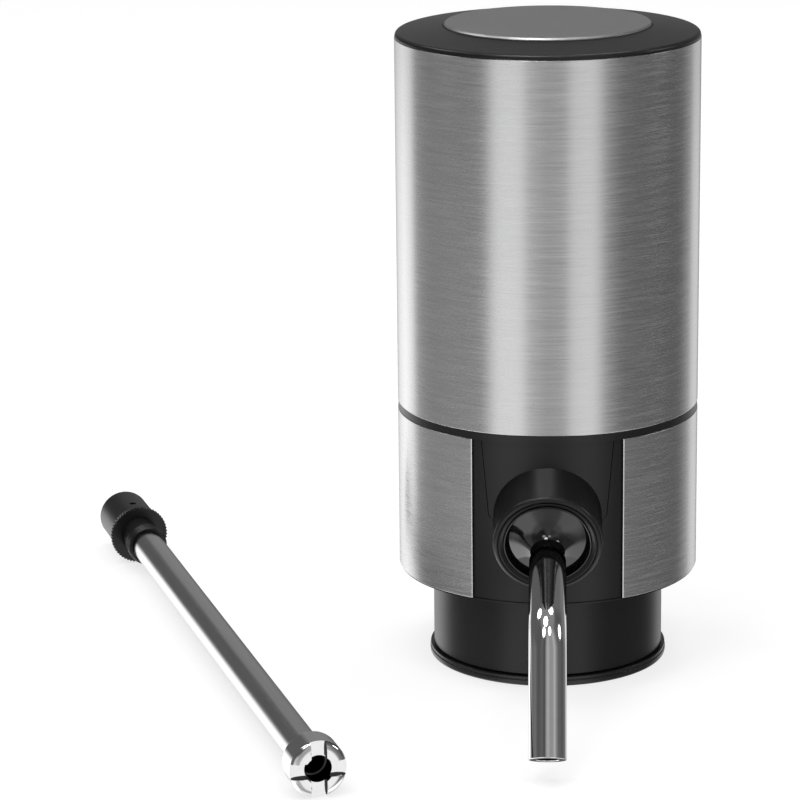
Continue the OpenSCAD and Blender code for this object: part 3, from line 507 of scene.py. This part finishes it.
def make_skirt():
    """Lower steel sheet, open at the front, with chamfered upright ends."""
    steps = 200
    chamfer_w = 0.36 * MM
    chamfer_in = 0.09 * MM
    inside = body.bore("skirt_wrap")
    window_half = min(abs(p.x) for p in body.spots("skirt_wrap") if p.y < 0)
    verts = []
    for k in range(steps + 1):
        at_end = k in (0, steps)
        outside = radius - chamfer_in if at_end else radius
        share = k / steps if at_end else (k - 1) / (steps - 2)
        for r, z in ((inside, z_skirt), (outside, z_skirt), (outside, z_joint), (inside, z_joint)):
            start = math.asin(window_half / r) + (0 if at_end else chamfer_w / r)
            a = start + (2 * math.pi - 2 * start) * share - math.pi / 2
            verts.append((r * math.cos(a), r * math.sin(a), z))
    last = 4 * steps
    faces = quads(steps + 1, 4, turned_over=True)
    faces += [[0, 1, 2, 3], [last + 3, last + 2, last + 1, last]]
    skirt = build("skirt", body, verts, faces)
    smooth(skirt.data, 8)
    bevel = skirt.modifiers.new("edges", "BEVEL")
    bevel.width = SMALL_EDGE
    bevel.segments = 2
    bevel.limit_method = "ANGLE"
    bevel.angle_limit = math.radians(60)
    bevel.harden_normals = True
    place(skirt, "brushed_steel", "dispenser", "skirt_wrap")


def make_rim():
    """Ring at the foot of the collar, with a fine groove round it."""
    foot_edge = 0.3 * MM
    foot_in = 0.1 * MM
    foot_h = 0.5 * MM
    wall_edge = 0.15 * MM
    groove = 0.2 * MM
    groove_edge = 0.06 * MM
    groove_low = 1.35 * MM
    groove_high = groove_low + 0.12 * MM
    wall_end = groove_low - 0.1 * MM
    lip_in = 0.08 * MM
    lip_z = groove_low + 0.25 * MM
    top_in = 0.12 * MM
    top_edge = 0.2 * MM
    rim_r = body.reach("rim_ring")
    inside = body.bore("rim_ring")
    top = body.ends("rim_ring")[1]
    rim = turned("rim", body, rounded([
        (inside, 0, foot_edge), (rim_r - foot_in, 0, foot_edge), (rim_r, foot_h, foot_edge),
        (rim_r, wall_end, wall_edge), (rim_r - groove, groove_low, groove_edge),
        (rim_r - groove, groove_high, groove_edge), (rim_r - lip_in, lip_z, SMALL_EDGE),
        (rim_r - top_in, top, top_edge), (inside, top),
    ]), segments=240)
    place(rim, "dark_rim", "dispenser", "rim_ring")


# Spout, its boss and its dish

def make_boss():
    """Round boss: an outer land, a seam and an inner ring round the dish's recess."""
    tail_hole = 4.05 * MM
    recess_gap = 0.05 * MM
    recess_r = funnel_r + recess_gap
    land_z = -0.12 * MM
    land_edge = 0.95 * MM
    seam_edge = 0.08 * MM
    seam_z = -0.6 * MM
    ring_edge = 0.2 * MM
    land_in, seam_out, seam_in, ring_out, ring_in = (
        boss_r - inset * MM for inset in (1.08, 1.16, 1.28, 1.32, 1.65))
    recess_z = -0.55 * MM
    boss = turned("boss", spout, rounded([
        (tail_hole, -BOSS_DEPTH), (boss_r, -BOSS_DEPTH), (boss_r, land_z, land_edge),
        (land_in, land_z, seam_edge), (seam_out, seam_z), (seam_in, seam_z),
        (ring_out, 0, SMALL_EDGE), (ring_in, 0, ring_edge), (recess_r, recess_z, FINE_EDGE),
        (recess_r, boss_floor_z), (tail_hole, boss_floor_z),
    ]), segments=192)
    place(boss, "black_plastic", "dispenser", "spout_housing")
    return boss


def tongue_edge(panel_r):
    """Right edge of the tongue in the CAD housing, as (height, half width) from the bottom up."""
    beside_boss = boss_r - 0.005 * MM
    on_panel = 0.02 * MM
    widest = {}
    for p in body.spots("spout_housing"):
        if p.x > beside_boss and abs(math.hypot(p.x, p.y) - panel_r) < on_panel:
            z = round(p.z, 6)
            widest[z] = max(p.x, widest.get(z, 0))
    return sorted(widest.items())


def half_width(edge, z):
    """Half of the tongue's width at a height."""
    for (z0, w0), (z1, w1) in zip(edge, edge[1:]):
        if z <= z1:
            return w0 + (w1 - w0) * (z - z0) / (z1 - z0)
    return edge[-1][1]


def make_tongue():
    """Tongue behind the boss, flush with the front panel."""
    columns = 40
    thick = 1.9 * MM
    # Heights that divide the long straight edges
    between = (49 * MM, 53 * MM, 57 * MM)
    above_lip = z_skirt + 5 * MM
    panel_r = body.reach("lower_housing", above_lip, z_joint)
    edge = tongue_edge(panel_r)
    levels = sorted({z for z, _ in edge} | set(between))
    verts, faces = [], []
    for r in (panel_r, panel_r - thick):
        for z in levels:
            half = half_width(edge, z)
            for k in range(columns + 1):
                x = half * (2 * k / columns - 1)
                verts.append((x, -math.sqrt(r * r - x * x), z))
    wide = columns + 1
    layer = wide * len(levels)
    for row in range(len(levels) - 1):
        for k in range(columns):
            a = row * wide + k
            faces.append([a, a + 1, a + 1 + wide, a + wide])
            faces.append([layer + a + wide, layer + a + 1 + wide, layer + a + 1, layer + a])
        a = row * wide
        faces.append([a, a + wide, layer + a + wide, layer + a])
        a += columns
        faces.append([layer + a, layer + a + wide, a + wide, a])
    for k in range(columns):
        faces.append([k + 1, k, layer + k, layer + k + 1])
        a = (len(levels) - 1) * wide + k
        faces.append([a, a + 1, layer + a + 1, layer + a])
    tongue = build("tongue", body, verts, faces)
    true_round(tongue, (panel_r, panel_r - thick), 30)
    place(tongue, "black_plastic", "dispenser")


def make_funnel():
    """Glossy dish: a cup whose floor flares up into the stem, with a tail and a barb behind it."""
    cup_lip = 0.35 * MM
    cup_wall = 0.42 * MM
    cup_edge = 0.2 * MM
    flare_r = funnel_r - 0.6 * MM
    flare_low = -1.7 * MM
    flare_pull = (6.2 * MM, -0.3 * MM)
    flare_steps = 24
    gutter_out = flare_r + 0.25 * MM
    gutter_in = flare_r + 0.1 * MM
    gutter_z = flare_low - 0.4 * MM
    neck = 2.95 * MM
    neck_pull = 0.2 * MM
    neck_start = 3.9 * MM
    neck_end = 5.9 * MM
    tail = 4 * MM
    tail_end = -21 * MM
    barb = 2.25 * MM
    low, stem_end = spout.ends("spout_funnel")
    stem_tip = stem_end - 3 * MM
    stem_r = spout.reach("spout_funnel", stem_tip, stem_end)
    way_r = spout.bore("spout_funnel")
    flare = curve(((flare_r, flare_low), flare_pull, (neck, neck_pull), (neck, neck_start)), flare_steps)
    outline = rounded([
        (way_r, low), (barb, low), (barb, tail_end), (tail, tail_end), (tail, boss_floor_z),
        (funnel_r, boss_floor_z), (funnel_r, -cup_lip, cup_edge), (funnel_r - cup_wall, -cup_lip, cup_edge),
        (gutter_out, gutter_z), (gutter_in, gutter_z), *flare,
        (neck, neck_end, FINE_EDGE), (stem_r, neck_end), (stem_r, stem_end), (way_r, stem_end),
    ])
    funnel = turned("funnel", spout, eased(outline, 25), segments=192)
    place(funnel, "gloss_black", "dispenser", "spout_funnel")


def make_pipe():
    """Bent chrome spout with a socket for the stem."""
    run = 22.8 * MM
    leg = 24 * MM
    bend_r = 10.6 * MM
    bend = math.radians(46.7)
    inside = 2.45 * MM
    socket = 7 * MM
    socket_edge = 0.3 * MM
    start_edge = 0.5 * MM
    mouth_edge = 0.2 * MM
    bend_step = 0.4 * MM
    start = spout.ends("spout_tube")[0]
    pipe_r = spout.reach("spout_tube", start, start + 5 * MM)
    socket_r = spout.bore("spout_tube", start, start + 1 * MM)
    socket_end = start + socket
    bend_start = start + run
    bend_end = bend_start + bend_r * bend
    end = bend_end + leg

    def path(height):
        """Straight, a bend towards local -y, and straight again."""
        if height <= bend_start:
            return straight(height)
        turn = min(1, (height - bend_start) / (bend_end - bend_start)) * bend
        along = Vector((0, -math.sin(turn), math.cos(turn)))
        spot = Vector((0, bend_r * (math.cos(turn) - 1), bend_start + bend_r * math.sin(turn)))
        if height > bend_end:
            spot += along * (height - bend_end)
        return spot, Vector((1, 0, 0)), Vector((0, math.cos(turn), math.sin(turn))), along

    outline = rounded([
        (socket_r, start, socket_edge), (pipe_r, start, start_edge), (pipe_r, end, mouth_edge),
        (inside, end, mouth_edge), (inside, socket_end), (socket_r, socket_end),
    ])
    pipe = turned("pipe", spout, stretched(outline, bend_step), segments=96, path=path)
    place(pipe, "chrome", "spout", "spout_tube")


# Loose dip tube

def make_plug():
    """Plug that goes into the dispenser, with an air hole in its upper side."""
    socket = 4.5 * MM
    bore_edge = 0.3 * MM
    nose_edge = 0.6 * MM
    hole_r = 0.9 * MM
    hole_at = 11.7 * MM
    low, high = dip.ends("connector_plug")
    plug_r = dip.reach("connector_plug")
    bore = dip.bore("connector_plug")
    plug = turned("plug", dip, rounded([
        (bore, low, bore_edge), (plug_r, low, nose_edge), (plug_r, high), (neck_in, high),
        (neck_in, high - socket), (bore, high - socket),
    ]))
    hole = Axis(dip.matrix @ Vector((0, 0, low + hole_at)), dip.matrix.to_3x3() @ Vector((0, 1, 0)))
    cut(plug, prism("air_hole_cutter", hole, circle(hole_r, 32), 0, plug_r * 2))
    true_round(plug, (plug_r, bore))
    place(plug, "black_plastic", "dip_tube", "connector_plug")


def make_flange():
    """Ring with fine ridges round it."""
    ridges = 54
    ridge = 0.3 * MM
    edge = 0.15 * MM
    steps = ridges * 8
    low, high = dip.ends("connector_flange")
    flange_r = dip.reach("connector_flange")
    ring = []
    for k in range(steps):
        a = 2 * math.pi * k / steps
        r = flange_r - ridge / 2 + ridge / 2 * math.cos(ridges * a)
        ring.append((r * math.sin(a), -r * math.cos(a)))
    inner_ring = [(x * neck_in / math.hypot(x, y), y * neck_in / math.hypot(x, y)) for x, y in ring]
    shrink = 1 - edge / flange_r
    small_ring = [(x * shrink, y * shrink) for x, y in ring]
    rows = (
        (low, inner_ring), (low, small_ring), (low + edge, ring),
        (high - edge, ring), (high, small_ring), (high, inner_ring),
    )
    verts = [(x, y, s) for s, points in rows for x, y in points]
    flange = build("flange", dip, verts, quads(len(rows), steps, closed=True))
    smooth(flange.data, 32)
    place(flange, "black_plastic", "dip_tube", "connector_flange")


def make_neck():
    """Neck of the connector, with ribs at its tube end."""
    ribs = 3
    pitch = 1.2 * MM
    rib = 0.3 * MM
    rib_foot = 0.12 * MM
    rib_crest = 0.42 * MM
    foot_edge = 0.08 * MM
    crest_edge = 0.15 * MM
    low, high = dip.ends("connector_neck")
    crest = dip.reach("connector_neck")
    plain = crest - rib
    ribbed = []
    for k in range(ribs):
        start = high - (ribs - k) * pitch
        end = start + pitch
        ribbed += [(plain, start + rib_foot, foot_edge), (crest, start + rib_crest, crest_edge),
                   (crest, end - rib_crest, crest_edge), (plain, end - rib_foot, foot_edge)]
    neck = turned("neck", dip, rounded([
        (neck_in, low), (plain, low), *ribbed, (plain, high, FINE_EDGE), (neck_in, high),
    ]), segments=128)
    place(neck, "black_plastic", "dip_tube", "connector_neck")


def make_tube():
    """Outer tube of the telescopic dip tube."""
    low, high = dip.ends("outer_tube")
    tube_r = dip.reach("outer_tube")
    inside = dip.bore("outer_tube")
    tube = turned("tube", dip, rounded([
        (inside, low), (tube_r, low), (tube_r, high, FINE_EDGE), (inside, high, FINE_EDGE),
    ]), segments=128)
    place(tube, "satin_steel", "dip_tube", "outer_tube")


def make_foot():
    """Chrome foot with a rounded crown and two slots across it."""
    hole = 3.1 * MM
    slot_w = 3.5 * MM
    slot = 1.3 * MM
    crown = 2 * MM
    crown_steps = 14
    base_edge = 0.6 * MM
    socket = 1.5 * MM
    low, high = dip.ends("tube_foot")
    foot_r = dip.reach("tube_foot")
    inner_r = dip.reach("inner_tube")
    crown_arc = []
    for k in range(crown_steps + 1):
        a = math.pi / 2 * k / crown_steps
        crown_arc.append((foot_r - crown * (1 - math.cos(a)), high - slot * (1 - math.sin(a))))
    foot = turned("foot", dip, rounded([
        (inner_r, low), (foot_r, low, base_edge), *crown_arc, (hole, high, SMALL_EDGE),
        (hole, low + socket), (inner_r, low + socket),
    ]))
    for x, y in ((foot_r * 2, slot_w / 2), (slot_w / 2, foot_r * 2)):
        ring = [(-x, -y), (x, -y), (x, y), (-x, y)]
        cut(foot, prism("slot_cutter", dip, ring, high - slot, high + slot))
    true_round(foot, (foot_r, hole), 25)
    place(foot, "chrome", "dip_tube_inner", "tube_foot")


make_sleeve()
make_cap()
make_disc()
make_spring()
make_skirt()
make_rim()
boss = make_boss()
make_tongue()
make_funnel()
make_pipe()
make_plug()
make_flange()
make_neck()
make_tube()
make_foot()


# World and floor

def grey(level):
    return (level, level, level, 1)


def seen(tree):
    """1 for rays of the camera, of gloss and of clear pieces, and 0 for the rest."""
    path = add_node(tree, "LightPath")
    total = path.outputs["Is Camera Ray"]
    for name in ("Is Glossy Ray", "Is Transmission Ray"):
        top = add_node(tree, "Math", {0: total, 1: path.outputs[name]}, operation="MAXIMUM")
        total = top.outputs["Value"]
    return total


def show(tree, surface):
    tree.links.new(surface, tree.nodes["Material Output"].inputs["Surface"])


def make_world():
    """Even light on the object, and white where the background is seen."""
    light_level = 0.5
    world = bpy.data.worlds.new("studio")
    scene.world = world
    world.use_nodes = True
    tree = world.node_tree
    light = tree.nodes["Background"]
    light.inputs["Color"].default_value = grey(1)
    light.inputs["Strength"].default_value = light_level
    white = add_node(tree, "Background", {"Color": grey(1), "Strength": 1.0})
    pick = add_node(tree, "MixShader", {
        "Fac": seen(tree), 1: light.outputs["Background"], 2: white.outputs["Background"],
    })
    tree.links.new(pick.outputs["Shader"], tree.nodes["World Output"].inputs["Surface"])


def make_floor():
    """Pale floor that keeps the object's shadow; gloss shows the dome in its place."""
    half = 4.0
    drop = 0.05 * MM
    pale_level = 0.36
    glow_level = 0.72
    bounce_level = 0.8
    corners = ((-1, -1), (1, -1), (1, 1), (-1, 1))
    floor = add_mesh("floor", [(x * half, y * half, 0) for x, y in corners], [[0, 1, 2, 3]])
    floor.location.z = -drop
    mat, tree, bsdf = shader("floor")
    bsdf.inputs["Base Color"].default_value = grey(pale_level)
    bsdf.inputs["Roughness"].default_value = 1
    bsdf.inputs["Specular IOR Level"].default_value = 0
    glow = add_node(tree, "Emission", {"Strength": glow_level})
    pale = add_node(tree, "AddShader", {0: bsdf.outputs["BSDF"], 1: glow.outputs["Emission"]})
    matte = add_node(tree, "BsdfDiffuse", {"Color": grey(bounce_level)})
    pick = add_node(tree, "MixShader", {
        "Fac": seen(tree), 1: matte.outputs["BSDF"], 2: pale.outputs["Shader"],
    })
    show(tree, pick.outputs["Shader"])
    floor.data.materials.append(mat)
    floor.visible_glossy = False


# Studio dome and lamps

# Share of the studio's light that reaches a surface seen in another one's gloss
SECOND_LOOK = 0.12


def first_look(tree):
    """1 for light on what is seen straight, less for light on what is seen in another surface."""
    looks = add_node(tree, "LightPath")
    dimmer = add_node(tree, "MapRange", {
        "Value": looks.outputs["Ray Depth"], "From Min": 1, "From Max": 2, "To Min": 1, "To Max": SECOND_LOOK,
    })
    return dimmer.outputs["Result"]


def only_in_gloss(obj):
    for ray in ("camera", "diffuse", "transmission", "volume_scatter", "shadow"):
        setattr(obj, "visible_" + ray, False)


DOME_R = 1.6
DOME_LOW = -62
DOME_COLUMNS = 96
DOME_ROWS = 24
# Brightness of the dome at angles round from the front, in degrees: steeply below the body's middle,
# below it, level with it and above it; overhead it is even
TABLE_CARDS = (
    (-180, 0.4), (-120, 2.3), (-55, 2.3), (-20, 0.5), (15, 0.45), (50, 1.3), (110, 1.3), (150, 0.5),
    (180, 0.4),
)
LOW_CARDS = (
    (-180, 0.12), (-172, 0.3), (-164, 0.8), (-150, 1.25), (-138, 1.6), (-127, 1.4), (-115, 0.42),
    (-100, 0.35), (-52, 0.38), (-37, 1.2), (-21, 1.2), (-12, 0.66), (0, 0.51), (12, 0.53), (19, 1.0),
    (34, 1.08), (48, 0.35), (58, 0.19), (118, 0.16), (133, 0.4), (143, 0.9), (158, 0.85), (166, 0.3),
    (173, 0.2), (180, 0.12),
)
MID_CARDS = (
    (-180, 0.28), (-165, 0.28), (-152, 0.12), (-112, 0.12), (-97, 0.16), (-80, 0.19), (-62, 0.12),
    (-48, 0.2), (-37, 0.6), (-21, 0.65), (-12, 0.45), (0, 0.4), (12, 0.42), (19, 0.62), (34, 0.66),
    (48, 0.3), (58, 0.2), (75, 0.14), (103, 0.1), (118, 0.2), (140, 0.2), (165, 0.2), (180, 0.26),
)
HIGH_CARDS = (
    (-180, 0.25), (-163, 0.26), (-150, 0.12), (-105, 0.12), (-55, 0.1), (-40, 0.14), (-19, 0.09),
    (-9, 0.33), (0, 0.46), (6, 0.46), (18, 0.34), (32, 0.34), (47, 0.5), (60, 0.27), (72, 0.14),
    (110, 0.1), (140, 0.15), (165, 0.17), (180, 0.25),
)
TOP_LEVEL = 0.26
# Heights between which each ring of cards gives way to the next, in degrees above level
TABLE_TO_LOW = (-44, -36)
LOW_TO_MID = (-8, 4)
MID_TO_HIGH = (10, 26)
HIGH_TO_TOP = (50, 65)


def dome_mesh():
    verts = []
    for row in range(DOME_ROWS):
        rise = math.radians(DOME_LOW + (90 - DOME_LOW) * row / DOME_ROWS)
        height = DOME_R * math.sin(rise)
        verts += [(x, y, height) for x, y in circle(DOME_R * math.cos(rise), DOME_COLUMNS)]
    top = len(verts)
    verts.append((0, 0, DOME_R))
    faces = quads(DOME_ROWS, DOME_COLUMNS, turned_over=True)
    last = top - DOME_COLUMNS
    faces += [[last + k, top, last + (k + 1) % DOME_COLUMNS] for k in range(DOME_COLUMNS)]
    return verts, faces


def dome_light(tree):
    """Colour of the dome: rings of cards that blend into one another from the table up to the top."""
    where = add_node(tree, "TexCoord")
    split = add_node(tree, "SeparateXYZ", {"Vector": where.outputs["Object"]})
    front = add_node(tree, "Math", {0: split.outputs["Y"], 1: -1}, operation="MULTIPLY")
    angle = add_node(tree, "Math", {0: split.outputs["X"], 1: front.outputs["Value"]}, operation="ARCTAN2")
    share = add_node(tree, "MapRange", {
        "Value": angle.outputs["Value"], "From Min": -math.pi, "From Max": math.pi,
    })

    def ring(cards):
        band = add_node(tree, "ValToRGB", {"Fac": share.outputs["Result"]})
        band.color_ramp.interpolation = "EASE"
        stops = band.color_ramp.elements
        stops.remove(stops[-1])
        for k, (degrees, level) in enumerate(cards):
            at = (degrees + 180) / 360
            stop = stops[0] if k == 0 else stops.new(at)
            stop.position = at
            stop.color = grey(level)
        return band.outputs["Color"]

    def over(low, high, heights):
        start, end = (DOME_R * math.sin(math.radians(degrees)) for degrees in heights)
        rise = add_node(tree, "MapRange", {
            "Value": split.outputs["Z"], "From Min": start, "From Max": end,
        }, interpolation_type="SMOOTHSTEP")
        blend = add_node(tree, "Mix", {
            "Factor": rise.outputs["Result"], "A": low, "B": high,
        }, data_type="RGBA")
        return blend.outputs["Result"]

    light = over(ring(TABLE_CARDS), ring(LOW_CARDS), TABLE_TO_LOW)
    light = over(light, ring(MID_CARDS), LOW_TO_MID)
    light = over(light, ring(HIGH_CARDS), MID_TO_HIGH)
    return over(light, grey(TOP_LEVEL), HIGH_TO_TOP)


def make_dome():
    """Studio dome that only gloss shows: its brightness changes round and up the object, as cards do."""
    dome = add_mesh("dome", *dome_mesh())
    dome.data.shade_smooth()
    mat, tree, bsdf = shader("dome")
    tree.nodes.remove(bsdf)
    glow = add_node(tree, "Emission", {"Color": dome_light(tree), "Strength": first_look(tree)})
    show(tree, glow.outputs["Emission"])
    dome.data.materials.append(mat)
    only_in_gloss(dome)


def area_lamp(name, spot, aim, size, watts):
    data = bpy.data.lights.new(name, "AREA")
    data.shape = "DISK"
    data.size = size
    data.energy = watts
    obj = add_object(name, data)
    obj.location = spot
    obj.rotation_euler = (Vector(aim) - Vector(spot)).to_track_quat("-Z", "Y").to_euler()
    return obj


def make_lamp(name, spot, aim, size, watts, level):
    """A lamp for the matt light and the shadows, and a round card in its place that gloss shows."""
    card_steps = 48
    obj = area_lamp(name, spot, aim, size, watts)
    obj.visible_glossy = False
    rim = [(x, y, 0) for x, y in circle(size / 2, card_steps)]
    card = add_mesh(name + "_card", rim, [list(range(card_steps))])
    card.location = obj.location
    card.rotation_euler = obj.rotation_euler
    mat, tree, bsdf = shader(name + "_card")
    tree.nodes.remove(bsdf)
    strength = add_node(tree, "Math", {0: first_look(tree), 1: level}, operation="MULTIPLY")
    glow = add_node(tree, "Emission", {"Strength": strength.outputs["Value"]})
    show(tree, glow.outputs["Emission"])
    card.data.materials.append(mat)
    only_in_gloss(card)


# Each lamp: degrees to the side, degrees up and over from the front, size in metres, watts and
# brightness in gloss
LAMPS = (
    ("key", -19, 63, 0.46, 2.4, 2.6),
    ("front", 11, 64, 0.42, 1.6, 2.4),
    ("right", 62, 100, 0.45, 2.0, 3.5),
    ("top", -9, 82, 0.5, 3.0, 9.0),
    ("back_left", -34, 112, 0.5, 2.4, 3.5),
    ("back_right", 14, 107, 0.48, 2.4, 4.5),
)
LAMP_AT = 1.45


def make_lamps():
    centre = (0, 0, (z_skirt + z_cap) / 2)
    for name, aside, rise, size, watts, level in LAMPS:
        s, e = math.radians(aside), math.radians(rise)
        way = Vector((math.sin(s), -math.cos(s) * math.cos(e), math.cos(s) * math.sin(e)))
        make_lamp(name, way * LAMP_AT, centre, size, watts, level)


def make_boss_sheen():
    """A small lamp for the sheen along the top of the boss, which lights nothing else."""
    mouth = spout.matrix.translation
    behind_and_above = Vector((-0.02, 0.24, 0.255))
    sheen = area_lamp("boss_sheen", mouth + behind_and_above, mouth, size=0.06, watts=0.11)
    lit = bpy.data.collections.new("boss_sheen_on")
    lit.objects.link(boss)
    sheen.light_linking.receiver_collection = lit
    sheen.light_linking.blocker_collection = lit


# Camera

# The photograph is 800 pixels square, and the body's axis stands this far from its left edge
IMAGE_PX = 800
AXIS_PX = 547.55
FOCAL_PX = 3564.05
PITCH = math.radians(15.184)
DISTANCE = 847.2 * MM
LOOK_Z = 61.89 * MM


def make_camera():
    """Camera straight before the body, turned aside so that its axis stands where the photograph has it."""
    ahead = Vector((0, math.cos(PITCH), -math.sin(PITCH)))
    right = Vector((1, 0, 0))
    turn = math.atan((AXIS_PX - IMAGE_PX / 2) / FOCAL_PX)
    view = ahead * math.cos(turn) - right * math.sin(turn)
    side = right * math.cos(turn) + ahead * math.sin(turn)
    data = bpy.data.cameras.new("camera")
    data.sensor_width = 36
    data.lens = FOCAL_PX * data.sensor_width / IMAGE_PX
    camera = add_object("camera", data)
    facing = Matrix((side, side.cross(view), -view)).transposed().to_4x4()
    camera.matrix_world = Matrix.Translation(Vector((0, 0, LOOK_Z)) - ahead * DISTANCE) @ facing
    scene.camera = camera


make_world()
make_floor()
make_dome()
make_lamps()
make_boss_sheen()
make_camera()
scene.view_settings.view_transform = "Standard"
